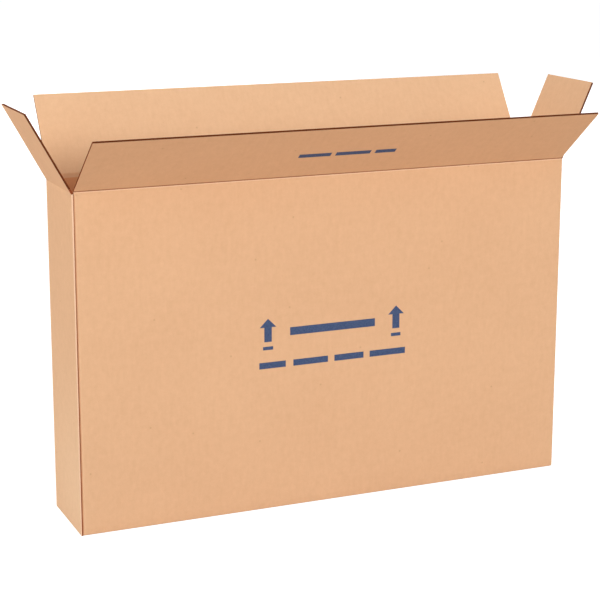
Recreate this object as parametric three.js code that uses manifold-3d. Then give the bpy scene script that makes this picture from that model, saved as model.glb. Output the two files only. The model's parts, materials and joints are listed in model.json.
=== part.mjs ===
// A tall, narrow carton for a flat-panel television: a full-overlap slotted carton of single-wall
// corrugated board, glued at the bottom and standing open, its four top flaps leaning outwards.
// Millimetres, +X along the carton, front wall towards -Y, +Z up, origin at the centre of the base.

import * as THREE from 'three';
import { mergeGeometries, mergeVertices } from 'three/addons/utils/BufferGeometryUtils.js';
import Module from 'manifold-3d';

const wasm = await Module();
wasm.setup();

// Room inside the carton, 48 x 8 x 30 inches
const INSIDE_LENGTH = 1219;
const INSIDE_DEPTH = 203;
const INSIDE_HEIGHT = 762;

// Corrugated board: two liners with a fluted medium glued between them
const BOARD = 4.5;
const LINER = 0.35;
const MEDIUM = 0.4;
const GLUE_LINE = 1.2;
const FLUTE_PITCH = 8.9;

// Flaps: all eight are cut to one depth, and the slots between them are cut down to the creases
const FLAP_DEPTH = 200;
const SLOT_CLEARANCE = 0.5;
const CREASE_BAND = 6;

// Gap between the faces of a crease, and between flaps that close on each other
const CREASE_GAP = 0.3;
const LAYER_GAP = 0.3;

// Upright folds, and the folds along the base
const FOLD_RADIUS = 4;
const BASE_FOLD_RADIUS = 3;
const ARC_STEPS = 3;

// Glued tab of the manufacturer's joint, cut short of the creases and tapered
const TAB_WIDTH = 35;
const TAB_TAPER = 14;
const TAB_CLEARANCE = 6;

// How far each top flap leans outwards from upright, in degrees
const FRONT_LEAN = 51;
const BACK_LEAN = 33;
const LEFT_LEAN = 29;
const RIGHT_LEAN = 24;

// Outside of the carton
const LENGTH = INSIDE_LENGTH + 2 * BOARD;
const DEPTH = INSIDE_DEPTH + 2 * BOARD;
const BASE_LAYERS = 3 * BOARD;

// Crease heights: the short flaps close first, then the front flap, then the back flap
const LAYER = BOARD + LAYER_GAP;
const SIDE_CREASE = BASE_LAYERS + INSIDE_HEIGHT + BOARD;
const FRONT_CREASE = SIDE_CREASE + LAYER;
const BACK_CREASE = FRONT_CREASE + LAYER;

// Half a slot, from the corner of the carton to a flap's edge
const FLAP_INSET = BOARD + SLOT_CLEARANCE;
const LONG_FLAP = LENGTH - 2 * FLAP_INSET;
const SHORT_FLAP = DEPTH - 2 * FLAP_INSET;
const HALF_GAP = CREASE_GAP / 2;

// How far a cutting body stands past what it cuts
const PAST = 20;

const kraft = new THREE.MeshStandardMaterial({ color: 0xe2b48c, roughness: 0.88, metalness: 0 });
const kraftInside = new THREE.MeshStandardMaterial({ color: 0xe0b189, roughness: 0.9, metalness: 0 });

// Solids and cuts
function toSolid(geometry) {
  const bare = geometry.clone();
  bare.deleteAttribute('normal');
  bare.deleteAttribute('uv');
  const merged = mergeVertices(bare, 1e-4);
  return new wasm.Manifold(new wasm.Mesh({
    numProp: 3,
    vertProperties: new Float32Array(merged.attributes.position.array),
    triVerts: new Uint32Array(merged.index.array),
  }));
}

function toGeometry(solid) {
  const mesh = solid.getMesh();
  const geometry = new THREE.BufferGeometry();
  geometry.setAttribute('position', new THREE.BufferAttribute(mesh.vertProperties, 3));
  geometry.setIndex(new THREE.BufferAttribute(mesh.triVerts, 1));
  geometry.computeVertexNormals();
  return geometry;
}

function outline(points) {
  return new THREE.Shape(points.map(([a, b]) => new THREE.Vector2(a, b)));
}

function extrude(shape, depth) {
  return new THREE.ExtrudeGeometry(shape, { depth, bevelEnabled: false, curveSegments: ARC_STEPS });
}

function box(low, high) {
  const size = high.map((value, i) => value - low[i]);
  const geometry = new THREE.BoxGeometry(...size);
  geometry.translate(...low.map((value, i) => value + size[i] / 2));
  return toSolid(geometry);
}

// A prism whose section is drawn in (y, z) and which runs along X
function prismAlongX(points, from, to) {
  const geometry = extrude(outline(points), to - from);
  geometry.applyMatrix4(new THREE.Matrix4().set(0, 0, 1, from, 1, 0, 0, 0, 0, 1, 0, 0, 0, 0, 0, 1));
  return toSolid(geometry);
}

// A prism whose section is drawn in (x, z) and which runs along Y
function prismAlongY(points, from, to) {
  const geometry = extrude(outline(points), to - from);
  geometry.applyMatrix4(new THREE.Matrix4().set(1, 0, 0, 0, 0, 0, -1, to, 0, 1, 0, 0, 0, 0, 0, 1));
  return toSolid(geometry);
}

// The walls in plan, wound from the left wall's raw front edge round to the fold of the glued tab
function wallPlan() {
  const x = LENGTH / 2;
  const y = DEPTH / 2;
  const r = FOLD_RADIUS;
  const shape = new THREE.Shape();
  shape.moveTo(-x, -y);
  shape.lineTo(-x + BOARD, -y);
  shape.lineTo(-x + BOARD, -y + r);
  shape.absarc(-x + BOARD + r, -y + r, r, Math.PI, 1.5 * Math.PI, false);
  shape.absarc(x - r, -y + r, r, 1.5 * Math.PI, 2 * Math.PI, false);
  shape.absarc(x - r, y - r, r, 0, 0.5 * Math.PI, false);
  shape.absarc(-x + r, y - r, r, 0.5 * Math.PI, Math.PI, false);
  shape.closePath();
  const inside = new THREE.Path();
  inside.moveTo(-x + BOARD, -y + BOARD);
  inside.lineTo(-x + BOARD, y - BOARD);
  inside.lineTo(x - BOARD, y - BOARD);
  inside.lineTo(x - BOARD, -y + BOARD);
  inside.closePath();
  shape.holes.push(inside);
  return shape;
}

// What is cut off above one wall: a 45 degree slope that falls from the crease to the inner face.
// 'out' is the wall's outer face, 'inward' is +1 or -1 towards the inside, 'crease' its height.
function aboveWall(out, inward, crease) {
  const lip = crease - HALF_GAP * (1 + Math.SQRT2);
  const top = BACK_CREASE + PAST;
  return [
    [out - inward * PAST, lip],
    [out, lip],
    [out + inward * (BOARD + SLOT_CLEARANCE), lip - BOARD - SLOT_CLEARANCE],
    [out + inward * (BOARD + SLOT_CLEARANCE), top],
    [out - inward * PAST, top],
  ];
}

// The sliver outside a rounded base fold, as a section from the outer face and the floor
function baseFoldSliver(out, inward) {
  const r = BASE_FOLD_RADIUS;
  const points = [[out - inward * PAST, -PAST], [out + inward * r, -PAST], [out + inward * r, 0]];
  for (let i = 1; i < ARC_STEPS; i += 1) {
    const angle = (i / ARC_STEPS) * Math.PI / 2;
    points.push([out + inward * r * (1 - Math.sin(angle)), r * (1 - Math.cos(angle))]);
  }
  points.push([out, r], [out - inward * PAST, r]);
  return points;
}

function wound(points) {
  return THREE.ShapeUtils.isClockWise(points.map(([a, b]) => new THREE.Vector2(a, b)))
    ? [...points].reverse() : points;
}

// The tab of the manufacturer's joint: it turns in from the front wall and lies on the left wall
function gluedTab() {
  const face = -LENGTH / 2 + BOARD;
  const front = -DEPTH / 2 + BOARD;
  const low = BASE_LAYERS - BOARD / 2;
  const high = SIDE_CREASE - BOARD - TAB_CLEARANCE;
  const tab = outline([
    [front - BOARD / 2, low],
    [front, low],
    [front + TAB_WIDTH, low + TAB_TAPER],
    [front + TAB_WIDTH, high - TAB_TAPER],
    [front, high],
    [front - BOARD / 2, high],
  ]);
  const geometry = extrude(tab, BOARD + BOARD / 2);
  geometry.applyMatrix4(new THREE.Matrix4().set(
    0, 0, 1, face - BOARD / 2, 1, 0, 0, 0, 0, 1, 0, 0, 0, 0, 0, 1,
  ));
  return toSolid(geometry);
}

// The base: short flaps inside, then the back wall's flap, and the front wall's flap outermost
function baseFlaps() {
  const x = LENGTH / 2;
  const y = DEPTH / 2;
  const longHalf = LONG_FLAP / 2;
  const shortHalf = SHORT_FLAP / 2;
  return [
    box([-longHalf, -y + BOARD / 2, 0], [longHalf, -y + FLAP_DEPTH, BOARD]),
    box([-longHalf, y - FLAP_DEPTH, BOARD], [longHalf, y - BOARD / 2, 2 * BOARD]),
    box([-x + BOARD / 2, -shortHalf, 2 * BOARD], [-x + FLAP_DEPTH, shortHalf, 3 * BOARD]),
    box([x - FLAP_DEPTH, -shortHalf, 2 * BOARD], [x - BOARD / 2, shortHalf, 3 * BOARD]),
  ];
}

function cartonBody() {
  const x = LENGTH / 2;
  const y = DEPTH / 2;
  const walls = toSolid(extrude(wallPlan(), BACK_CREASE));
  const inner = y - BOARD;
  const tops = [
    prismAlongX(wound(aboveWall(-y, 1, FRONT_CREASE)), -x + BOARD, x + PAST),
    prismAlongX(wound(aboveWall(y, -1, BACK_CREASE)), -x - PAST, x + PAST),
    prismAlongY(wound(aboveWall(-x, 1, SIDE_CREASE)), -y - PAST, inner),
    prismAlongY(wound(aboveWall(x, -1, SIDE_CREASE)), -inner, inner),
  ];
  const slivers = [
    prismAlongX(wound(baseFoldSliver(-y, 1)), -x - PAST, x + PAST),
    prismAlongX(wound(baseFoldSliver(y, -1)), -x - PAST, x + PAST),
    prismAlongY(wound(baseFoldSliver(-x, 1)), -y - PAST, y + PAST),
    prismAlongY(wound(baseFoldSliver(x, -1)), -y - PAST, y + PAST),
  ];
  const sheet = wasm.Manifold.union([walls, gluedTab(), ...baseFlaps()]);
  return toGeometry(sheet.subtract(wasm.Manifold.union([...tops, ...slivers])));
}

// A flap, drawn upright: its width along x, its thickness inwards along y from the outer face, and
// its depth up z from the crease. The crease line is the local x axis. The lower end slopes at 45
// degrees, so that the flap meets its wall face to face when it closes. The flutes run up the flap
// from the crushed band at the crease and show at the raw upper edge.
function flapGeometry(width) {
  const outer = HALF_GAP;
  const innerFace = outer + BOARD;
  const slope = HALF_GAP * Math.SQRT2;
  const blank = prismAlongX(wound([
    [outer, outer + slope],
    [outer, FLAP_DEPTH],
    [innerFace, FLAP_DEPTH],
    [innerFace, innerFace + slope],
  ]), -width / 2, width / 2);
  return toGeometry(blank.subtract(flutes(width)));
}

// The hollows of the flutes: triangles between the medium and each liner, in turn, one pitch wide
function flutes(width) {
  const count = Math.max(1, Math.round(width / FLUTE_PITCH));
  const pitch = width / count;
  const half = (pitch - GLUE_LINE) / 2;
  const nearOuter = HALF_GAP + LINER;
  const nearInner = HALF_GAP + BOARD - LINER;
  const from = HALF_GAP + BOARD + CREASE_BAND;
  const hollows = [];
  for (let i = 0; i <= 2 * count; i += 1) {
    const x = -width / 2 + (i * pitch) / 2;
    const base = i % 2 === 0 ? nearOuter : nearInner;
    const tip = i % 2 === 0 ? nearInner - MEDIUM : nearOuter + MEDIUM;
    const triangle = wound([[x - half, base], [x + half, base], [x, tip]]);
    const hollow = extrude(outline(triangle), FLAP_DEPTH - from + PAST);
    hollow.translate(0, 0, from);
    hollows.push(hollow);
  }
  return toSolid(mergeGeometries(hollows));
}

// A flap on its wall: 'turn' faces the flap's inner side to the inside of the carton
function flap(name, width, place, turn, lean) {
  const mesh = new THREE.Mesh(flapGeometry(width), kraftInside);
  mesh.name = name;
  mesh.rotation.x = THREE.MathUtils.degToRad(lean);
  const wall = new THREE.Group();
  wall.position.set(...place);
  wall.rotation.z = THREE.MathUtils.degToRad(turn);
  wall.add(mesh);
  return wall;
}

const carton = new THREE.Group();

const body = new THREE.Mesh(cartonBody(), kraft);
body.name = 'carton_body';
carton.add(body);

const endPlace = LENGTH / 2 + HALF_GAP;
const facePlace = DEPTH / 2 + HALF_GAP;
carton.add(flap('front_flap', LONG_FLAP, [0, -facePlace, FRONT_CREASE], 0, FRONT_LEAN));
carton.add(flap('back_flap', LONG_FLAP, [0, facePlace, BACK_CREASE], 180, BACK_LEAN));
carton.add(flap('left_flap', SHORT_FLAP, [-endPlace, 0, SIDE_CREASE], -90, LEFT_LEAN));
carton.add(flap('right_flap', SHORT_FLAP, [endPlace, 0, SIDE_CREASE], 90, RIGHT_LEAN));

export default carton;
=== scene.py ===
# A tall, narrow carton for a flat-panel television, in brown kraft corrugated board, standing open.
# Metres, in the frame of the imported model: +X along the carton, front wall towards -Y, +Z up.
import json
import math
import random

import bpy
import numpy as np
from mathutils import Matrix, Vector


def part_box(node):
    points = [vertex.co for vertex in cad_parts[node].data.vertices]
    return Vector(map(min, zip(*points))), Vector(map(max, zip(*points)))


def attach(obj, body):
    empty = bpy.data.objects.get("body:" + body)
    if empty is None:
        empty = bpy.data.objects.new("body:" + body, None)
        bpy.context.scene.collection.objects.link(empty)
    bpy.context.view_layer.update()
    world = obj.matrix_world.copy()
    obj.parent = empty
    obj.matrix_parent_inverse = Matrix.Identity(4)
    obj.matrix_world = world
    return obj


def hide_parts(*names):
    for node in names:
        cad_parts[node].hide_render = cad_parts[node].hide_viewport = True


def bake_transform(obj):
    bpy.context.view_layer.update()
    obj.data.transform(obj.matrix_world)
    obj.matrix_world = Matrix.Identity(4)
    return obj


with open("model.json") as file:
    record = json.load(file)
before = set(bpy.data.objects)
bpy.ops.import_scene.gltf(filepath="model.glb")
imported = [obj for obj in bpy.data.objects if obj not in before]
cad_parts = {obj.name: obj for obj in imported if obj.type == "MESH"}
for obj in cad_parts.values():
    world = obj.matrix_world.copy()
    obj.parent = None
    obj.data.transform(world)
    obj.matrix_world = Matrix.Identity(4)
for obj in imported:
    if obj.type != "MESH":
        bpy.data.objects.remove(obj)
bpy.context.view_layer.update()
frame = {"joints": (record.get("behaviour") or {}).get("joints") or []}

MM = 0.001

# Sizes of the board and of its folds
BOARD = 4.5 * MM
LINER = 0.35 * MM
MEDIUM = 0.4 * MM
FLUTE_PITCH = 8.9 * MM
FOLD_RADIUS = 5.5 * MM
BASE_FOLD_RADIUS = 3 * MM
CREASE_GAP = 0.3 * MM
HALF_GAP = CREASE_GAP / 2
SLOT_CLEARANCE = 0.5 * MM
FLAP_DEPTH = 200 * MM
FLAP_TRIM = 0.4 * MM
TAB_WIDTH = 35 * MM
TAB_TAPER = 14 * MM
TAB_CLEARANCE = 6 * MM

# How far a crease reaches into the wall below it and into the flap above it
CREASE_REACH = 9 * MM

body_low, body_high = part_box("carton_body")
LENGTH = body_high.x - body_low.x
DEPTH = body_high.y - body_low.y
HALF_X = LENGTH / 2
HALF_Y = DEPTH / 2
FLAP_INSET = BOARD + SLOT_CLEARANCE
LONG_FLAP = LENGTH - 2 * FLAP_INSET
SHORT_FLAP = DEPTH - 2 * FLAP_INSET

CREASES = {joint["name"]: joint for joint in frame["joints"]}


def crease_height(name):
    return CREASES[name]["pos_m"][2]


def lean_of(name):
    """How far the flap leans outwards from upright at rest: its range starts at lying closed."""
    return math.radians(-CREASES[name]["range_deg"][0] - 90)


FRONT_TOP = crease_height("front_crease")
BACK_TOP = crease_height("back_crease")
SIDE_TOP = crease_height("left_crease")


# Node trees
def add_node(tree, kind, inputs=None, **settings):
    node = tree.nodes.new(kind)
    for name, value in settings.items():
        setattr(node, name, value)
    for key, value in (inputs or {}).items():
        socket = node.inputs[key]
        if isinstance(value, bpy.types.NodeSocket):
            tree.links.new(value, socket)
        else:
            socket.default_value = value
    return node


def maths(tree, operation, first, second=0.0):
    return add_node(tree, "ShaderNodeMath", {0: first, 1: second}, operation=operation).outputs[0]


def ramp(tree, factor, stops):
    node = add_node(tree, "ShaderNodeValToRGB", {"Fac": factor})
    elements = node.color_ramp.elements
    while len(elements) < len(stops):
        elements.new(0.5)
    for element, (position, colour) in zip(elements, stops):
        element.position = position
        element.color = (*colour, 1.0)
    return node.outputs["Color"]


def mixed(tree, factor, first, second, blend="MIX"):
    node = add_node(tree, "ShaderNodeMix", data_type="RGBA", blend_type=blend)
    for socket, value in ((node.inputs[0], factor), (node.inputs[6], first), (node.inputs[7], second)):
        if isinstance(value, bpy.types.NodeSocket):
            tree.links.new(value, socket)
        else:
            socket.default_value = value
    return node.outputs[2]


def srgb(red, green, blue):
    """A colour as seen, 0 to 255, in the linear values that a shader takes."""
    def linear(value):
        value /= 255
        return value / 12.92 if value <= 0.04045 else ((value + 0.055) / 1.055) ** 2.4
    return tuple(linear(value) for value in (red, green, blue))


# Materials, with the shares of clouds, streaks and mottle in the tone of kraft paper
CLOUD_SHARE = 0.26
STREAK_SHARE = 0.30
MOTTLE_SHARE = 0.44
SPECK_STRENGTH = 0.5
FLECK_STRENGTH = 0.35
GRAIN_STRENGTH = 0.10


def kraft_liner(name, pale, deep, speck):
    """Brown kraft paper: cloudy pulp, long fibres, fine specks, and the flutes showing faintly through."""
    material = bpy.data.materials.new(name)
    material.use_nodes = True
    tree = material.node_tree
    shader = tree.nodes["Principled BSDF"]
    sheet = add_node(tree, "ShaderNodeUVMap", uv_map="sheet").outputs[0]
    clouds = add_node(tree, "ShaderNodeTexNoise", {
        "Vector": sheet, "Scale": 5.0, "Detail": 6.0, "Roughness": 0.62,
    })
    stretch = add_node(tree, "ShaderNodeMapping", {"Vector": sheet, "Scale": (1.0, 0.22, 1.0)})
    streaks = add_node(tree, "ShaderNodeTexNoise", {
        "Vector": stretch.outputs[0], "Scale": 120.0, "Detail": 5.0, "Roughness": 0.7,
    })
    mottle = add_node(tree, "ShaderNodeTexNoise", {
        "Vector": sheet, "Scale": 62.0, "Detail": 5.0, "Roughness": 0.68,
    })
    fibres = add_node(tree, "ShaderNodeTexNoise", {
        "Vector": stretch.outputs[0], "Scale": 1500.0, "Detail": 3.0, "Roughness": 0.6,
    })
    specks = add_node(tree, "ShaderNodeTexVoronoi", {"Vector": sheet, "Scale": 260.0})
    tone = maths(tree, "ADD", maths(tree, "MULTIPLY", clouds.outputs[0], CLOUD_SHARE),
                 maths(tree, "MULTIPLY", streaks.outputs[0], STREAK_SHARE))
    tone = maths(tree, "ADD", tone, maths(tree, "MULTIPLY", mottle.outputs[0], MOTTLE_SHARE))
    base = ramp(tree, tone, [(0.32, deep), (0.68, pale)])
    flecks = add_node(tree, "ShaderNodeTexVoronoi", {
        "Vector": sheet, "Scale": 4.5,
    }, voronoi_dimensions="2D")
    speckled = mixed(tree, ramp(tree, specks.outputs["Distance"], [
        (0.035, (SPECK_STRENGTH,) * 3), (0.09, (0.0,) * 3),
    ]), base, (*speck, 1.0))
    flecked = mixed(tree, ramp(tree, flecks.outputs["Distance"], [
        (0.004, (FLECK_STRENGTH,) * 3), (0.013, (0.0,) * 3),
    ]), speckled, (*speck, 1.0))
    grain = mixed(tree, GRAIN_STRENGTH, flecked, fibres.outputs[0], "OVERLAY")
    tree.links.new(grain, shader.inputs["Base Color"])
    separate = add_node(tree, "ShaderNodeSeparateXYZ", {0: sheet})
    wave = maths(tree, "SINE", maths(tree, "MULTIPLY", separate.outputs[0], 2 * math.pi / FLUTE_PITCH))
    relief = maths(tree, "ADD", maths(tree, "MULTIPLY", wave, 0.10),
                   maths(tree, "MULTIPLY", fibres.outputs[0], 0.30))
    relief = maths(tree, "ADD", relief, maths(tree, "MULTIPLY", streaks.outputs[0], 0.35))
    bump = add_node(tree, "ShaderNodeBump", {"Strength": 0.22, "Distance": 0.0004, "Height": relief})
    tree.links.new(bump.outputs[0], shader.inputs["Normal"])
    rough = maths(tree, "ADD", maths(tree, "MULTIPLY", mottle.outputs[0], 0.16), 0.74)
    tree.links.new(rough, shader.inputs["Roughness"])
    shader.inputs["Specular IOR Level"].default_value = 0.22
    return material


def raw_edge():
    """The cut edge of the board: torn brown fibre, darker than the liners."""
    material = bpy.data.materials.new("raw_board_edge")
    material.use_nodes = True
    tree = material.node_tree
    shader = tree.nodes["Principled BSDF"]
    place = add_node(tree, "ShaderNodeTexCoord").outputs["Object"]
    fibres = add_node(tree, "ShaderNodeTexNoise", {
        "Vector": place, "Scale": 700.0, "Detail": 4.0, "Roughness": 0.7,
    })
    colour = ramp(tree, fibres.outputs[0], [(0.3, srgb(126, 62, 34)), (0.7, srgb(166, 94, 60))])
    tree.links.new(colour, shader.inputs["Base Color"])
    bump = add_node(tree, "ShaderNodeBump", {
        "Strength": 0.5, "Distance": 0.0003, "Height": fibres.outputs[0],
    })
    tree.links.new(bump.outputs[0], shader.inputs["Normal"])
    shader.inputs["Roughness"].default_value = 0.95
    shader.inputs["Specular IOR Level"].default_value = 0.1
    return material


def navy_ink():
    """Navy ink printed thinly on kraft, so that the paper's mottle shows through it."""
    material = bpy.data.materials.new("navy_printing_ink")
    material.use_nodes = True
    tree = material.node_tree
    shader = tree.nodes["Principled BSDF"]
    place = add_node(tree, "ShaderNodeTexCoord").outputs["Object"]
    cover = add_node(tree, "ShaderNodeTexNoise", {
        "Vector": place, "Scale": 420.0, "Detail": 4.0, "Roughness": 0.7,
    })
    colour = ramp(tree, cover.outputs[0], [(0.35, srgb(44, 64, 104)), (0.78, srgb(80, 99, 134))])
    tree.links.new(colour, shader.inputs["Base Color"])
    shader.inputs["Roughness"].default_value = 0.62
    shader.inputs["Specular IOR Level"].default_value = 0.3
    return material


OUTER_KRAFT = kraft_liner("kraft_outer_liner", srgb(234, 190, 150), srgb(223, 178, 138), srgb(174, 126, 88))
INNER_KRAFT = kraft_liner("kraft_inner_liner", srgb(240, 197, 157), srgb(229, 184, 143), srgb(172, 122, 84))
# A darker copy of the outer liner for the front and back creases: partly the crushed board's own colour,
# partly painted shade in the crease.
CRUSHED_SHADED_KRAFT = kraft_liner("kraft_crushed_crease_painted_shade", srgb(190, 134, 98), srgb(168, 114, 78), srgb(136, 88, 56))
# A paler copy of the outer liner: a painted highlight on the wall's shoulder below the front and back
# creases, and on the outer rim of the left wall's raw edge.
HIGHLIGHT_KRAFT = kraft_liner("kraft_painted_highlight", srgb(248, 214, 182), srgb(241, 202, 167), srgb(204, 156, 118))
# A deeper, more orange copy of the inner liner for the walls' inner faces: painted shade and warm bounce
# inside the carton.
SHADED_INSIDE_KRAFT = kraft_liner("kraft_inside_painted_shade", srgb(234, 174, 128), srgb(224, 161, 114), srgb(166, 106, 68))
CUT_EDGE = raw_edge()
INK = navy_ink()

# Order of the materials on every piece of board
BOARD_MATERIALS = (OUTER_KRAFT, INNER_KRAFT, CUT_EDGE, CRUSHED_SHADED_KRAFT, HIGHLIGHT_KRAFT, SHADED_INSIDE_KRAFT)
OUTER, INNER, EDGE, CRUSHED_SHADED, PAINTED_HIGHLIGHT, SHADED_INSIDE = range(6)


# Places on the paper's map, in metres, so that no two pieces show the same stretch of paper
INNER_SHEET = 7.0
FLAP_SHEET = 3.0
BASE_SHEET = 13.0

SMOOTH_UNDER = math.radians(50)


# Mesh helpers
def make_piece(name, points, faces, face_materials, sheet_uv, materials=BOARD_MATERIALS, smooth=True):
    """A mesh piece; sheet_uv holds one (u, v) for each point, u across the flutes and v along them."""
    mesh = bpy.data.meshes.new(name)
    mesh.from_pydata([tuple(point) for point in points], [], [tuple(face) for face in faces])
    for material in materials:
        mesh.materials.append(material)
    mesh.polygons.foreach_set("material_index", np.array(face_materials, np.int32))
    mesh.polygons.foreach_set("use_smooth", np.full(len(faces), smooth))
    layer = mesh.uv_layers.new(name="sheet")
    loops = np.zeros(len(mesh.loops), np.int32)
    mesh.loops.foreach_get("vertex_index", loops)
    layer.data.foreach_set("uv", np.asarray(sheet_uv, np.float32)[loops].ravel())
    piece = bpy.data.objects.new(name, mesh)
    bpy.context.scene.collection.objects.link(piece)
    mesh.validate()
    mesh.set_sharp_from_angle(angle=SMOOTH_UNDER)
    return piece


def swept_ring(rings, closed_ends=True):
    """Faces of a tube of equal rings, with its two end faces."""
    count = len(rings[0])
    faces = []
    for i in range(len(rings) - 1):
        for j in range(count):
            k = (j + 1) % count
            faces.append((rings[i][j], rings[i][k], rings[i + 1][k], rings[i + 1][j]))
    if closed_ends:
        faces.append(tuple(reversed(rings[0])))
        faces.append(tuple(rings[-1]))
    return faces


SLOW_WAVES = 5
WAVES_PER_METRE = (0.8, 3.0)


def slow_wave(along, up, seed):
    """A gentle unevenness of a board panel, from -1 to 1, as a sum of a few slow waves."""
    chance = random.Random(seed)
    total = 0.0
    for _ in range(SLOW_WAVES):
        across = chance.uniform(*WAVES_PER_METRE)
        rise = chance.uniform(*WAVES_PER_METRE)
        total += math.sin(2 * math.pi * (across * along + rise * up) + chance.uniform(0, 2 * math.pi))
    return total / SLOW_WAVES


def fade(distance, reach):
    """0 at a fold, rising smoothly to 1 at 'reach' from it."""
    t = min(max(distance / reach, 0.0), 1.0)
    return t * t * (3 - 2 * t)


# Walls: one sheet, from the left wall's raw front edge round to the tab glued inside it.
# A wall sinks by up to WALL_DIP in mid panel, and not near its folds, foot and top.
WALL_DIP = 1.4 * MM
WALL_SEED = 11
FOOT_CALM = 20 * MM
FOOT_FADE = 80 * MM
PANEL_FADE = 90 * MM
FOLD_STEPS = 8
WALL_STEP = 14 * MM
SLOT_STEP = 0.01 * MM
CORNER_TOP = 0.5 * MM
TAB_FILM = 0.1 * MM
TAB_FOOT = 1 * MM
TAB_SHARES = (0.0, 0.02, 0.25, 0.5, 0.75, 1.0)
BASE_STEPS = 4
HEIGHT_STEPS = 46


class Station:
    """One upright line of the folded sheet: its outer and inner points in plan, and how high it stands."""
    def __init__(self, outer, inner, along, low, high, flat=0.0):
        self.outer = outer
        self.inner = inner
        self.along = along
        self.low = low
        self.high = high
        self.flat = flat


def wall_stations():
    """Walks along the sheet and returns its stations."""
    stations = []
    along = 0.0

    def straight(start, end, normal, crease, slot_start, slot_end):
        """A flat wall between two folds. At its ends, past the flap, it reaches up to the slot."""
        nonlocal along
        length = math.dist(start, end)
        direction = ((end[0] - start[0]) / length, (end[1] - start[1]) / length)
        steps = max(4, int(length / WALL_STEP))
        marks = [i * length / steps for i in range(steps + 1)]
        marks += [slot_start, slot_start + SLOT_STEP, length - slot_end, length - slot_end - SLOT_STEP]
        for mark in sorted({round(mark, 7) for mark in marks}):
            beyond = mark < slot_start + SLOT_STEP / 2 or mark > length - slot_end - SLOT_STEP / 2
            high = crease - (CORNER_TOP if beyond else CREASE_REACH)
            outer = (start[0] + direction[0] * mark, start[1] + direction[1] * mark)
            inner = (outer[0] - normal[0] * BOARD, outer[1] - normal[1] * BOARD)
            flat = min(mark, length - mark)
            stations.append(Station(outer, inner, along + mark, 0.0, high, flat))
        along += length

    def fold(centre, start_angle, crease_before, crease_after, turn=1):
        """A quarter-round fold about a centre, between two walls."""
        nonlocal along
        inner_radius = FOLD_RADIUS - BOARD
        for i in range(1, FOLD_STEPS):
            share = i / FOLD_STEPS
            angle = start_angle + turn * share * math.pi / 2
            high = crease_before + (crease_after - crease_before) * share - CORNER_TOP
            place = (math.cos(angle), math.sin(angle))
            outer = (centre[0] + FOLD_RADIUS * place[0], centre[1] + FOLD_RADIUS * place[1])
            inner = (centre[0] + inner_radius * place[0], centre[1] + inner_radius * place[1])
            stations.append(Station(outer, inner, along + share * FOLD_RADIUS * math.pi / 2, 0.0, high))
        along += FOLD_RADIUS * math.pi / 2

    x, y, r = HALF_X, HALF_Y, FOLD_RADIUS
    slot = max(FLAP_INSET - r, 0.0)
    straight((-x, -y), (-x, y - r), (-1, 0), SIDE_TOP, FLAP_INSET, slot)
    fold((-x + r, y - r), math.pi, SIDE_TOP, BACK_TOP, -1)
    straight((-x + r, y), (x - r, y), (0, 1), BACK_TOP, slot, slot)
    fold((x - r, y - r), math.pi / 2, BACK_TOP, SIDE_TOP, -1)
    straight((x, y - r), (x, -y + r), (1, 0), SIDE_TOP, slot, slot)
    fold((x - r, -y + r), 0.0, SIDE_TOP, FRONT_TOP, -1)
    tab_x = -x + BOARD + TAB_FILM
    straight((x - r, -y), (tab_x + r, -y), (0, -1), FRONT_TOP, slot, FLAP_INSET)
    tab_low = 3 * BOARD + TAB_FOOT
    tab_high = SIDE_TOP - BOARD - TAB_CLEARANCE
    fold((tab_x + r, -y + r), -math.pi / 2, FRONT_TOP, tab_high, -1)
    for share in TAB_SHARES:
        reach = share * TAB_WIDTH
        taper = share * TAB_TAPER
        outer = (tab_x, -y + r + reach)
        inner = (tab_x + BOARD, -y + r + reach)
        high = tab_high - taper
        low = 0.0 if share == 0.0 else tab_low + taper
        stations.append(Station(outer, inner, along + reach, low, high))
    return stations


def wall_profile(low, high):
    """Heights up a wall, closer together at the base fold; the same count for every station."""
    quarter = math.pi / 2
    turns = [i * quarter / BASE_STEPS for i in range(BASE_STEPS + 1)]
    near_base = [BASE_FOLD_RADIUS * (1 - math.cos(turn)) for turn in turns]
    plain = high - low - near_base[-1]
    rest = [near_base[-1] + plain * (i + 1) / HEIGHT_STEPS for i in range(HEIGHT_STEPS)]
    return [low + z for z in near_base + rest]


def wall_sheet():
    stations = wall_stations()
    points, uv, rings = [], [], []
    for station in stations:
        outer, inner = np.array(station.outer), np.array(station.inner)
        normal = (outer - inner) / max(np.linalg.norm(outer - inner), 1e-9)
        heights = wall_profile(station.low, station.high)
        on_floor = station.low == 0.0
        ring = []
        for z in heights:
            rounding = 0.0
            if on_floor and z < BASE_FOLD_RADIUS:
                rounding = BASE_FOLD_RADIUS - math.sqrt(BASE_FOLD_RADIUS ** 2 - (BASE_FOLD_RADIUS - z) ** 2)
            swell = wall_swell(station.along, station.flat, z)
            place = outer + normal * (swell - rounding)
            ring.append(len(points))
            points.append((place[0], place[1], z))
            uv.append((station.along, z))
        for z in reversed(heights):
            place = inner + normal * wall_swell(station.along, station.flat, z)
            ring.append(len(points))
            points.append((place[0], place[1], z))
            uv.append((station.along + INNER_SHEET, z))
        rings.append(ring)
    faces = swept_ring(rings, closed_ends=False)
    count = len(rings[0])
    half = count // 2
    marks = []
    for _ in range(len(rings) - 1):
        for j in range(count):
            if j == half - 1 or j == count - 1:
                marks.append(EDGE if j == half - 1 else OUTER)
            else:
                # The walls' inner face takes the deeper copy of the inner liner: painted shade inside the
                # carton.
                marks.append(OUTER if j < half - 1 else SHADED_INSIDE)
    faces.append(tuple(rings[-1]))
    marks.append(EDGE)
    add_raw_edge(points, uv, faces, marks, rings[0])
    return make_piece("carton_walls", points, faces, marks, uv)


# Raw edge of the left wall: the width of the outer liner's rim, which carries a pale painted highlight, at
# the foot and at the top, the inner liner's, and how far the wave lies back between them
RIM_LOW = 2.2 * MM
RIM_HIGH = 3.5 * MM
INNER_RIM = 0.3 * MM
RAW_RECESS = 0.2 * MM


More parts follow.
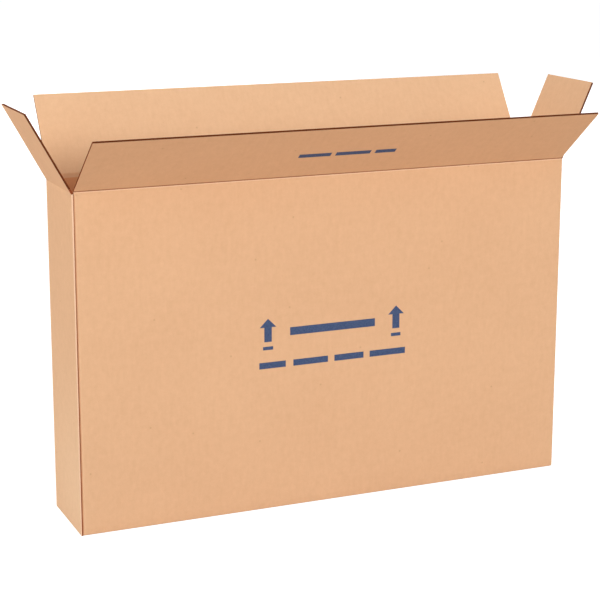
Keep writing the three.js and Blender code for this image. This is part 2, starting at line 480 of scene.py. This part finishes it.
def add_raw_edge(points, uv, faces, marks, ring):
    """Closes the sheet's first end with the liners' rims and the hollow between them."""
    half = len(ring) // 2
    columns = [[ring[i] for i in range(half)]]
    hollow_end = BOARD - INNER_RIM
    for share, recess in ((0.0, 0.0), (0.0, RAW_RECESS), (1.0, RAW_RECESS), (1.0, 0.0)):
        column = []
        for i in range(half):
            x, y, z = points[ring[i]]
            rim = RIM_LOW + (RIM_HIGH - RIM_LOW) * z / SIDE_TOP
            inwards = rim + (hollow_end - rim) * share
            column.append(len(points))
            points.append((x + inwards, y + recess, z))
            uv.append((x + inwards, z))
        columns.append(column)
    columns.append([ring[len(ring) - 1 - i] for i in range(half)])
    for number, (left, right) in enumerate(zip(columns, columns[1:])):
        for i in range(half - 1):
            faces.append((left[i], right[i], right[i + 1], left[i + 1]))
            # The first strip, the outer liner's rim, takes the pale painted highlight; the others take the
            # raw-edge colour.
            marks.append(PAINTED_HIGHLIGHT if number == 0 else EDGE)
    faces.append(tuple(column[-1] for column in columns))
    faces.append(tuple(column[0] for column in reversed(columns)))
    marks += [EDGE, EDGE]


def wall_swell(along, flat, z):
    """How far a wall is sunk in, at a place along the sheet and 'flat' away from the nearest fold."""
    calm = fade(flat - TAB_WIDTH, PANEL_FADE)
    calm *= fade(z - FOOT_CALM, FOOT_FADE) * fade(SIDE_TOP - z, PANEL_FADE)
    return -WALL_DIP * calm * (0.5 + 0.5 * slow_wave(along, z, WALL_SEED))


# Fluted board, built as liner, wave and liner
def fluted_board_tree():
    tree = bpy.data.node_groups.new("fluted_board", "GeometryNodeTree")
    sockets = tree.interface
    for name in ("Width", "Depth", "Board", "Liner", "Medium", "Pitch"):
        sockets.new_socket(name, in_out="INPUT", socket_type="NodeSocketFloat")
    for name in ("Across", "Up", "Steps"):
        sockets.new_socket(name, in_out="INPUT", socket_type="NodeSocketInt")
    for name in ("Outer", "Inner", "Wave"):
        sockets.new_socket(name, in_out="INPUT", socket_type="NodeSocketMaterial")
    sockets.new_socket("Board", in_out="OUTPUT", socket_type="NodeSocketGeometry")
    given = add_node(tree, "NodeGroupInput").outputs
    half_depth = maths(tree, "MULTIPLY", given["Depth"], 0.5)

    def liner(centre, material):
        size = add_node(tree, "ShaderNodeCombineXYZ", {
            0: given["Width"], 1: given["Liner"], 2: given["Depth"],
        })
        sheet = add_node(tree, "GeometryNodeMeshCube", {
            "Size": size.outputs[0],
            "Vertices X": given["Across"], "Vertices Y": 2, "Vertices Z": given["Up"],
        })
        lift = add_node(tree, "ShaderNodeCombineXYZ", {1: centre, 2: half_depth})
        moved = add_node(tree, "GeometryNodeSetPosition", {
            "Geometry": sheet.outputs["Mesh"], "Offset": lift.outputs[0],
        })
        return add_node(tree, "GeometryNodeSetMaterial", {
            "Geometry": moved.outputs[0], "Material": given[material],
        }).outputs[0]

    half_liner = maths(tree, "MULTIPLY", given["Liner"], 0.5)
    outer = liner(half_liner, "Outer")
    inner = liner(maths(tree, "SUBTRACT", given["Board"], half_liner), "Inner")

    flutes = maths(tree, "DIVIDE", given["Width"], given["Pitch"])
    columns = maths(tree, "ADD", maths(tree, "ROUND", maths(tree, "MULTIPLY", flutes, given["Steps"])), 1.0)
    size = add_node(tree, "ShaderNodeCombineXYZ", {
        0: given["Width"], 1: given["Medium"], 2: given["Depth"],
    })
    sheet = add_node(tree, "GeometryNodeMeshCube", {
        "Size": size.outputs[0], "Vertices X": columns, "Vertices Y": 2, "Vertices Z": given["Up"],
    })
    position = add_node(tree, "GeometryNodeInputPosition").outputs[0]
    place = add_node(tree, "ShaderNodeSeparateXYZ", {0: position})
    phase = maths(tree, "DIVIDE", maths(tree, "MULTIPLY", place.outputs[0], 2 * math.pi), given["Pitch"])
    room = maths(tree, "SUBTRACT", maths(tree, "MULTIPLY", given["Board"], 0.5),
                 maths(tree, "ADD", given["Liner"], maths(tree, "MULTIPLY", given["Medium"], 0.5)))
    rise = maths(tree, "MULTIPLY", maths(tree, "SINE", phase), room)

    through = maths(tree, "ADD", rise, maths(tree, "MULTIPLY", given["Board"], 0.5))
    lift = add_node(tree, "ShaderNodeCombineXYZ", {1: through, 2: half_depth})
    waved = add_node(tree, "GeometryNodeSetPosition", {
        "Geometry": sheet.outputs["Mesh"], "Offset": lift.outputs[0],
    })
    wave = add_node(tree, "GeometryNodeSetMaterial", {
        "Geometry": waved.outputs[0], "Material": given["Wave"],
    })
    whole = add_node(tree, "GeometryNodeJoinGeometry")
    for part in (outer, inner, wave.outputs[0]):
        tree.links.new(part, whole.inputs[0])
    real = add_node(tree, "GeometryNodeRealizeInstances", {"Geometry": whole.outputs[0]})
    result = add_node(tree, "NodeGroupOutput")
    tree.links.new(real.outputs[0], result.inputs[0])
    return tree


BOARD_TREE = fluted_board_tree()


LINER_STEP = 20 * MM
ROWS_UP = 12
STEPS_A_FLUTE = 10


def fluted_board(width, depth):
    """A flat board of that width across the flutes and depth along them: x, thickness y from 0, z up."""
    holder = bpy.data.objects.new("board_blank", bpy.data.meshes.new("board_blank"))
    bpy.context.scene.collection.objects.link(holder)
    modifier = holder.modifiers.new("fluted_board", "NODES")
    modifier.node_group = BOARD_TREE
    sizes = {
        "Width": width, "Depth": depth, "Board": BOARD, "Liner": LINER, "Medium": MEDIUM,
        "Pitch": width / max(1, round(width / FLUTE_PITCH)),
        "Across": max(4, int(width / LINER_STEP)), "Up": ROWS_UP, "Steps": STEPS_A_FLUTE,
        "Outer": OUTER_KRAFT, "Inner": INNER_KRAFT, "Wave": CUT_EDGE,
    }
    for item in BOARD_TREE.interface.items_tree:
        if item.in_out == "INPUT":
            modifier[item.identifier] = sizes[item.name]
    evaluated = holder.evaluated_get(bpy.context.evaluated_depsgraph_get())
    mesh = bpy.data.meshes.new_from_object(evaluated)
    bpy.data.objects.remove(holder)
    return mesh


def board_piece(name, width, depth, bend, sheet_offset=(0.0, 0.0)):
    """A fluted board whose flat points (x, thickness, depth) are placed by the function 'bend'."""
    mesh = fluted_board(width, depth)
    mesh.name = name
    flat = np.zeros(len(mesh.vertices) * 3, np.float32)
    mesh.vertices.foreach_get("co", flat)
    flat = flat.reshape(-1, 3).astype(float)
    loops = np.zeros(len(mesh.loops), np.int32)
    mesh.loops.foreach_get("vertex_index", loops)
    sheet = flat[:, [0, 2]] + np.array(sheet_offset)
    while mesh.uv_layers:
        mesh.uv_layers.remove(mesh.uv_layers[0])
    layer = mesh.uv_layers.new(name="sheet")
    layer.data.foreach_set("uv", sheet.astype(np.float32)[loops].ravel())
    placed = np.array([bend(*point) for point in flat])
    mesh.vertices.foreach_set("co", placed.astype(np.float32).ravel())
    mark_cut_rims(mesh, flat, loops, width, depth)
    piece = bpy.data.objects.new(name, mesh)
    bpy.context.scene.collection.objects.link(piece)
    mesh.set_sharp_from_angle(angle=SMOOTH_UNDER)
    return piece


CLOSE = 0.001 * MM


def mark_cut_rims(mesh, flat, loops, width, depth):
    """Gives the rims of the liners, where the board was cut, the colour of the raw edge."""
    kinds = [BOARD_MATERIALS.index(mesh.materials[polygon.material_index]) for polygon in mesh.polygons]
    mesh.materials.clear()
    for material in BOARD_MATERIALS:
        mesh.materials.append(material)
    for polygon, kind in zip(mesh.polygons, kinds):
        corners = flat[loops[polygon.loop_start:polygon.loop_start + polygon.loop_total]]
        on_side = np.all(np.abs(np.abs(corners[:, 0]) - width / 2) < CLOSE)
        on_end = np.all(np.abs(corners[:, 2] - depth) < CLOSE)
        from_middle = np.abs(corners[:, 1] - BOARD / 2)
        glued_side = kind != EDGE and np.all(from_middle < BOARD / 2 - LINER / 2)
        polygon.material_index = EDGE if on_side or on_end or glued_side else kind


# Top flaps
class Hinge:
    """A crease: where it is, which way is out, and how far its flap leans."""
    def __init__(self, joint, out, along, width):
        self.pivot = np.array(CREASES[joint]["pos_m"])
        self.out = np.array(out, float)
        self.along = np.array(along, float)
        self.up = np.array((0.0, 0.0, 1.0))
        self.lean = lean_of(joint)
        self.width = width
        self.body = CREASES[joint]["child"]

    def place(self, x, outwards, upwards):
        return self.pivot + self.along * x + self.out * outwards + self.up * upwards

    def on_flap(self, x, depth, inwards):
        """A point of the flap, by its places along the crease, away from it and in from the outer face."""
        sine, cosine = math.sin(self.lean), math.cos(self.lean)
        return self.place(x, depth * sine - inwards * cosine, depth * cosine + inwards * sine)


HINGES = {
    "front": Hinge("front_crease", (0, -1, 0), (1, 0, 0), LONG_FLAP),
    "back": Hinge("back_crease", (0, 1, 0), (-1, 0, 0), LONG_FLAP),
    "left": Hinge("left_crease", (-1, 0, 0), (0, -1, 0), SHORT_FLAP),
    "right": Hinge("right_crease", (1, 0, 0), (0, 1, 0), SHORT_FLAP),
}
FLAP_WARP = {"front": 0.1 * MM, "back": 0.1 * MM, "left": 0.5 * MM, "right": 0.5 * MM}
FLAP_FADE = 120 * MM
FLAP_SEED = 20


def flap_warp(side, x, depth):
    """How far a flap stands out of its plane, towards its inner side."""
    calm = fade(depth - CREASE_REACH, FLAP_FADE)
    return FLAP_WARP[side] * calm * (0.5 + 0.5 * slow_wave(x, depth, FLAP_SEED + len(side)))


def top_flap(side, number):
    hinge = HINGES[side]

    def bend(x, through, depth):
        v = depth + CREASE_REACH
        return hinge.on_flap(x, v, HALF_GAP + through + flap_warp(side, x, v))

    depth = FLAP_DEPTH - FLAP_TRIM - CREASE_REACH
    piece = board_piece(f"{side}_flap_board", hinge.width, depth, bend, (FLAP_SHEET * number, 0.0))
    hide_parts(f"{side}_flap")
    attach(piece, hinge.body)


# Creases: the crushed band between a wall and its flap, built once at the flap's resting lean
CREASE_DIP = 1.3 * MM
CREASE_DIP_WIDTH = 1.2 * MM
CREASE_LIP = 0.16 * MM
CREASE_LIP_PLACE = 3.0 * MM
CREASE_LIP_WIDTH = 1.5 * MM
CREASE_STEP = 3 * MM
# Shares of CREASE_REACH: up to the first, the crushed band takes a darker colour that is partly painted
# shade; up to the second, on the wall side, a pale painted highlight.
CRUSHED_SHADED_SHARE = 0.16
PAINTED_HIGHLIGHT_SHARE = 0.4
OUTSIDE_SHARES = (1.0, 0.8, 0.6, 0.45, 0.33, 0.24, CRUSHED_SHADED_SHARE, 0.07)
INSIDE_SHARES = (1.0, 0.6, 0.25)
INSIDE_TURNS = 8
CREASE_SEED = 40
LIP_END = 3 * MM

# How much the depth of a crease changes along it: with the flutes, slowly, and by chance
FLUTE_CHANGE = 0.16
SLOW_CHANGE = 0.14
SLOW_CHANGE_TURN = 23
CHANCE_CHANGE = 0.08
SIDE_CREASE_DEPTH = 0.35


def crease_relief(distance, strength):
    """The outer liner's relief at a distance from the crease: a narrow dip between two low lips."""
    dip = math.exp(-((distance / CREASE_DIP_WIDTH) ** 2))
    lip = math.exp(-(((distance - CREASE_LIP_PLACE) / CREASE_LIP_WIDTH) ** 2))
    end = fade(CREASE_REACH - distance, LIP_END)
    return (CREASE_LIP * lip * end - CREASE_DIP * dip) * strength


def crease_section(lean, strength, crease_shade_and_highlight):
    """The section of a crease as (outwards, upwards, liner) points round its closed outline."""
    reach = CREASE_REACH
    marks = [reach * share for share in OUTSIDE_SHARES]
    sine, cosine = math.sin(lean), math.cos(lean)
    half_sine, half_cosine = math.sin(lean / 2), math.cos(lean / 2)
    section = []
    # Wall side: the dip and the crushed band next to it are darker, partly painted shade, and the shoulder
    # beyond them takes a pale painted highlight, where these are asked for.
    for mark in marks:
        liner = OUTER
        if crease_shade_and_highlight and mark <= CRUSHED_SHADED_SHARE * reach:
            liner = CRUSHED_SHADED
        elif crease_shade_and_highlight and mark < PAINTED_HIGHLIGHT_SHARE * reach:
            liner = PAINTED_HIGHLIGHT
        section.append((-HALF_GAP + crease_relief(mark, strength), -mark, liner))
    dip = HALF_GAP + CREASE_DIP * strength
    section.append((-dip * half_cosine, dip * half_sine, CRUSHED_SHADED if crease_shade_and_highlight else OUTER))
    for mark in reversed(marks):
        away = -HALF_GAP + crease_relief(mark, strength)
        liner = CRUSHED_SHADED if crease_shade_and_highlight and mark <= CRUSHED_SHADED_SHARE * reach else OUTER
        section.append((mark * sine + away * cosine, mark * cosine - away * sine, liner))
    inside = HALF_GAP + BOARD
    inner_marks = [reach * share for share in INSIDE_SHARES]
    for mark in inner_marks:
        section.append((mark * sine - inside * cosine, mark * cosine + inside * sine, INNER))
    for i in range(INSIDE_TURNS + 1):
        angle = lean * (1 - i / INSIDE_TURNS)
        section.append((-inside * math.cos(angle), inside * math.sin(angle), INNER))
    for mark in reversed(inner_marks):
        section.append((-inside, -mark, INNER))
    return section


def crease_band(side, number):
    hinge = HINGES[side]
    chance = random.Random(CREASE_SEED + number)
    steps = int(hinge.width / CREASE_STEP)
    phase = chance.uniform(0, 6)
    # Only the front and back creases get the darker crushed colour, partly painted shade, and the pale
    # painted highlight.
    crease_shade_and_highlight = side in ("front", "back")
    depth = 1.0 if crease_shade_and_highlight else SIDE_CREASE_DEPTH
    points, uv, rings, liners = [], [], [], None
    for i in range(steps + 1):
        x = -hinge.width / 2 + hinge.width * i / steps
        flute = FLUTE_CHANGE * math.sin(2 * math.pi * x / FLUTE_PITCH)
        drift = SLOW_CHANGE * math.sin(SLOW_CHANGE_TURN * x + phase)
        drift += CHANCE_CHANGE * chance.uniform(-1, 1)
        section = crease_section(hinge.lean, (1 + flute + drift) * depth, crease_shade_and_highlight)
        liners = [liner for _, _, liner in section]
        ring = []
        for j, (outwards, upwards, liner) in enumerate(section):
            ring.append(len(points))
            points.append(hinge.place(x, outwards, upwards))
            uv.append((x + FLAP_SHEET * number + INNER_SHEET * (liner == INNER), upwards))
        rings.append(ring)
    faces = [face[::-1] for face in swept_ring(rings)]
    marks = []
    count = len(rings[0])
    for _ in range(steps):
        for j in range(count):
            marks.append(INNER if INNER in (liners[j], liners[(j + 1) % count]) else liners[j])
    marks += [EDGE, EDGE]
    piece = make_piece(f"{side}_crease_band", points, faces, marks, uv)
    half = math.sin(hinge.lean / 2) * (BOARD + HALF_GAP)
    turn = np.array((math.sin(hinge.lean / 2), math.cos(hinge.lean / 2)))
    start = hinge.place(0, -half * turn[0], -half * turn[1])
    end = hinge.place(0, half * turn[0], half * turn[1])
    tuple(start)
    tuple(end)
    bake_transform(piece)


# Base flaps, folded shut and glued in three layers, the front one outermost
GLUE_FILM = 0.05 * MM


def base_flap(name, width, reach, place):
    """A base flap of that width and reach from its fold, laid flat by the function 'place'."""
    piece = board_piece(name, width, reach, place, (BASE_SHEET, 0.0))
    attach(piece, "carton")


def base_flaps():
    layer = BOARD + GLUE_FILM
    reach = FLAP_DEPTH - BOARD
    base_flap("base_front_flap", LONG_FLAP, reach,
              lambda x, t, v: (-x, -HALF_Y + layer + v, t))
    base_flap("base_back_flap", LONG_FLAP, reach,
              lambda x, t, v: (x, HALF_Y - layer - v, layer + t))
    base_flap("base_left_flap", SHORT_FLAP, reach,
              lambda x, t, v: (-HALF_X + layer + v, x, 2 * layer + t))
    base_flap("base_right_flap", SHORT_FLAP, reach,
              lambda x, t, v: (HALF_X - layer - v, -x, 2 * layer + t))


# Print, as thin shapes of ink just proud of the board
INK_LIFT = 0.2 * MM
INK_BACK = 0.02 * MM
ARROW_WIDTH = 41 * MM
ARROW_HEAD = 20.5 * MM
ARROW_SHAFT = 18.5 * MM
ARROW_HEIGHT = 55 * MM
ARROW_BASE = 404 * MM
ARROW_PLACES = (-159 * MM, 168 * MM)
SMALL_BAR = 25 * MM
SMALL_ROW = 389 * MM
SMALL_HEIGHT = 8 * MM
UPPER_BAR = (-104 * MM, 113 * MM)
UPPER_ROW = 424 * MM
UPPER_HEIGHT = 19 * MM
LOWER_BARS = ((-181 * MM, -115 * MM), (-96 * MM, -8 * MM), (8.6 * MM, 84 * MM), (100 * MM, 193 * MM))
LOWER_ROW = 348 * MM
LOWER_HEIGHT = 15 * MM
FLAP_BARS = ((-113 * MM, -34.5 * MM), (-23 * MM, 63 * MM), (75 * MM, 126 * MM))
FLAP_ROW = 91 * MM
FLAP_HEIGHT = 14 * MM
BAR_STEP = 25 * MM


def arrow_shape(centre, base):
    half, shaft = ARROW_WIDTH / 2, ARROW_SHAFT / 2
    neck = base + ARROW_HEIGHT - ARROW_HEAD
    return [
        (centre - shaft, base), (centre + shaft, base), (centre + shaft, neck), (centre + half, neck),
        (centre, base + ARROW_HEIGHT), (centre - half, neck), (centre - shaft, neck),
    ]


def bar_shape(start, end, middle, height):
    """A plain bar, its long edge in short steps so that it follows the board."""
    steps = max(1, round((end - start) / BAR_STEP))
    along = [start + (end - start) * i / steps for i in range(steps + 1)]
    low, high = middle - height / 2, middle + height / 2
    return [(x, low) for x in along] + [(x, high) for x in reversed(along)]


def printed_shapes(name, shapes, place, body):
    """Inked shapes, each given by its outline in the face's own (x, up) and laid on it by 'place'."""
    points, faces = [], []
    for shape in shapes:
        count = len(shape)
        front = range(len(points), len(points) + count)
        back = range(len(points) + count, len(points) + 2 * count)
        points += [place(x, up, INK_LIFT) for x, up in shape]
        points += [place(x, up, INK_BACK) for x, up in shape]
        faces += [tuple(front), tuple(reversed(back))]
        for i in range(count):
            k = (i + 1) % count
            faces.append((front[i], back[i], back[k], front[k]))
    uv = [(point[0], point[2]) for point in points]
    piece = make_piece(name, points, faces, [0] * len(faces), uv, (INK,), smooth=False)
    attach(piece, body)


def front_wall_print():
    shapes = []
    for centre in ARROW_PLACES:
        shapes.append(arrow_shape(centre, ARROW_BASE))
        shapes.append(bar_shape(centre - SMALL_BAR / 2, centre + SMALL_BAR / 2, SMALL_ROW, SMALL_HEIGHT))
    shapes.append(bar_shape(*UPPER_BAR, UPPER_ROW, UPPER_HEIGHT))
    for start, end in LOWER_BARS:
        shapes.append(bar_shape(start, end, LOWER_ROW, LOWER_HEIGHT))

    def place(x, up, lift):
        return (x, -HALF_Y - wall_swell(front_wall_along(x), HALF_X - abs(x), up) - lift, up)

    printed_shapes("front_wall_print", shapes, place, "carton")


def front_wall_along(x):
    """The distance along the sheet at a place on the front wall."""
    r = FOLD_RADIUS
    quarter = r * math.pi / 2
    return (DEPTH - r) + quarter + (LENGTH - 2 * r) + quarter + (DEPTH - 2 * r) + quarter + (HALF_X - r - x)


def front_flap_print():
    hinge = HINGES["front"]
    shapes = []
    for start, end in FLAP_BARS:
        shapes.append(bar_shape(start, end, FLAP_ROW, FLAP_HEIGHT))

    def place(x, up, lift):
        return hinge.on_flap(x, up, HALF_GAP + flap_warp("front", x, up) - lift)

    printed_shapes("front_flap_print", shapes, place, hinge.body)


# Floor: what it throws back at the carton, and how it looks, white with the carton's shadow kept
WHITE = (1.0, 1.0, 1.0, 1.0)
FLOOR_SIZE = 60
FLOOR_DROP = 0.2 * MM
FLOOR_BOUNCE = (0.61, 0.505, 0.44, 1.0)
FLOOR_SHOWN = (0.5, 0.5, 0.5, 1.0)
FLOOR_GLOW = 0.84


def white_floor():
    bpy.ops.mesh.primitive_plane_add(size=FLOOR_SIZE, location=(0, 0, -FLOOR_DROP))
    floor = bpy.context.object
    floor.name = "floor"
    material = bpy.data.materials.new("white_floor")
    material.use_nodes = True
    tree = material.node_tree
    tree.nodes.clear()
    rays = add_node(tree, "ShaderNodeLightPath").outputs
    seen = maths(tree, "MAXIMUM", rays["Is Camera Ray"], rays["Is Glossy Ray"])
    seen = maths(tree, "MAXIMUM", seen, rays["Is Transmission Ray"])
    matt = add_node(tree, "ShaderNodeBsdfDiffuse", {"Color": FLOOR_BOUNCE})
    shown = add_node(tree, "ShaderNodeBsdfDiffuse", {"Color": FLOOR_SHOWN})
    glow = add_node(tree, "ShaderNodeEmission", {"Color": WHITE, "Strength": FLOOR_GLOW})
    bright = add_node(tree, "ShaderNodeAddShader", {0: shown.outputs[0], 1: glow.outputs[0]})
    mix = add_node(tree, "ShaderNodeMixShader", {0: seen, 1: matt.outputs[0], 2: bright.outputs[0]})
    output = add_node(tree, "ShaderNodeOutputMaterial", {"Surface": mix.outputs[0]})
    output.is_active_output = True
    floor.data.materials.append(material)


# Light of the white studio: its walls, up to a share of straight up, and its dimmer ceiling
WALL_LIGHT = 0.62
WALL_TOP = 0.8
CEILING_LIGHT = 0.25


def white_world():
    world = bpy.data.worlds.new("studio")
    bpy.context.scene.world = world
    world.use_nodes = True
    tree = world.node_tree
    tree.nodes.clear()
    rays = add_node(tree, "ShaderNodeLightPath").outputs
    seen = maths(tree, "MAXIMUM", rays["Is Camera Ray"], rays["Is Glossy Ray"])
    seen = maths(tree, "MAXIMUM", seen, rays["Is Transmission Ray"])
    direction = add_node(tree, "ShaderNodeTexCoord").outputs["Generated"]
    height = add_node(tree, "ShaderNodeSeparateXYZ", {0: direction}).outputs[2]
    strength = add_node(tree, "ShaderNodeMapRange", {
        "Value": height, "From Min": 0.0, "From Max": WALL_TOP,
        "To Min": WALL_LIGHT, "To Max": CEILING_LIGHT,
    }).outputs[0]
    light = add_node(tree, "ShaderNodeBackground", {"Color": WHITE, "Strength": strength})
    backdrop = add_node(tree, "ShaderNodeBackground", {"Color": WHITE, "Strength": 1.0})
    mix = add_node(tree, "ShaderNodeMixShader", {0: seen, 1: light.outputs[0], 2: backdrop.outputs[0]})
    add_node(tree, "ShaderNodeOutputWorld", {"Surface": mix.outputs[0]})


# Name, place, aim, size, watts and colour of each lamp
LAMPS = (
    ("key_light", (0.9, -8.4, 3.4), (0, 0, 0.5), 3.6, 385, (1.0, 1.0, 1.0)),
    ("left_light", (-6.5, -1.2, 3.4), (0, 0, 0.5), 5.0, 255, (1.0, 1.0, 1.0)),
    ("back_light", (2.0, 8.0, 3.0), (0, 0, 0.5), 4.0, 230, (1.0, 1.0, 1.0)),
    ("right_light", (7.5, 1.5, 3.0), (0, 0, 0.5), 4.0, 170, (1.0, 1.0, 1.0)),
    ("floor_glow", (-0.95, -0.1, 0.05), (-0.6, 0, 0.0), 0.25, 0.42, (0.4, 0.75, 1.0)),
)


def soft_lamp(name, place, aim, size, watts, colour):
    lamp = bpy.data.lights.new(name, "AREA")
    lamp.color = colour
    lamp.shape = "SQUARE"
    lamp.size = size
    lamp.energy = watts
    holder = bpy.data.objects.new(name, lamp)
    bpy.context.scene.collection.objects.link(holder)
    holder.location = place
    holder.visible_camera = False
    direction = Vector(aim) - Vector(place)
    holder.rotation_euler = direction.to_track_quat("-Z", "Y").to_euler()


# Camera at the photograph's angle, by its place in metres and its turns in radians
CAMERA_PLACE = (-1.5818, -3.6031, 1.4211)
CAMERA_YAW = 0.4057
CAMERA_PITCH = 0.2208
CAMERA_ROLL = 0.0013
FOCAL_PIXELS = 1700.0
PICTURE_PIXELS = 600
CENTRE_ROW = 270
SENSOR_MM = 36


def photo_camera():
    camera = bpy.data.cameras.new("photo_camera")
    camera.sensor_width = SENSOR_MM
    camera.lens = FOCAL_PIXELS / PICTURE_PIXELS * SENSOR_MM
    camera.shift_y = (CENTRE_ROW - PICTURE_PIXELS / 2) / PICTURE_PIXELS
    camera.clip_end = 100
    holder = bpy.data.objects.new("photo_camera", camera)
    bpy.context.scene.collection.objects.link(holder)
    forward = np.array((
        math.sin(CAMERA_YAW) * math.cos(CAMERA_PITCH),
        math.cos(CAMERA_YAW) * math.cos(CAMERA_PITCH),
        -math.sin(CAMERA_PITCH),
    ))
    level = np.array((math.cos(CAMERA_YAW), -math.sin(CAMERA_YAW), 0.0))
    above = np.cross(level, forward)
    right = math.cos(CAMERA_ROLL) * level + math.sin(CAMERA_ROLL) * above
    up = -math.sin(CAMERA_ROLL) * level + math.cos(CAMERA_ROLL) * above
    turn = Matrix((right, up, -forward)).transposed().to_4x4()
    holder.matrix_world = Matrix.Translation(CAMERA_PLACE) @ turn
    bpy.context.scene.camera = holder


def main():
    walls = wall_sheet()
    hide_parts("carton_body")
    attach(walls, "carton")
    base_flaps()
    for number, side in enumerate(HINGES):
        top_flap(side, number)
        crease_band(side, number)
    front_wall_print()
    front_flap_print()
    white_floor()
    white_world()
    for lamp in LAMPS:
        soft_lamp(*lamp)
    photo_camera()
    bpy.context.scene.view_settings.view_transform = "Standard"


main()
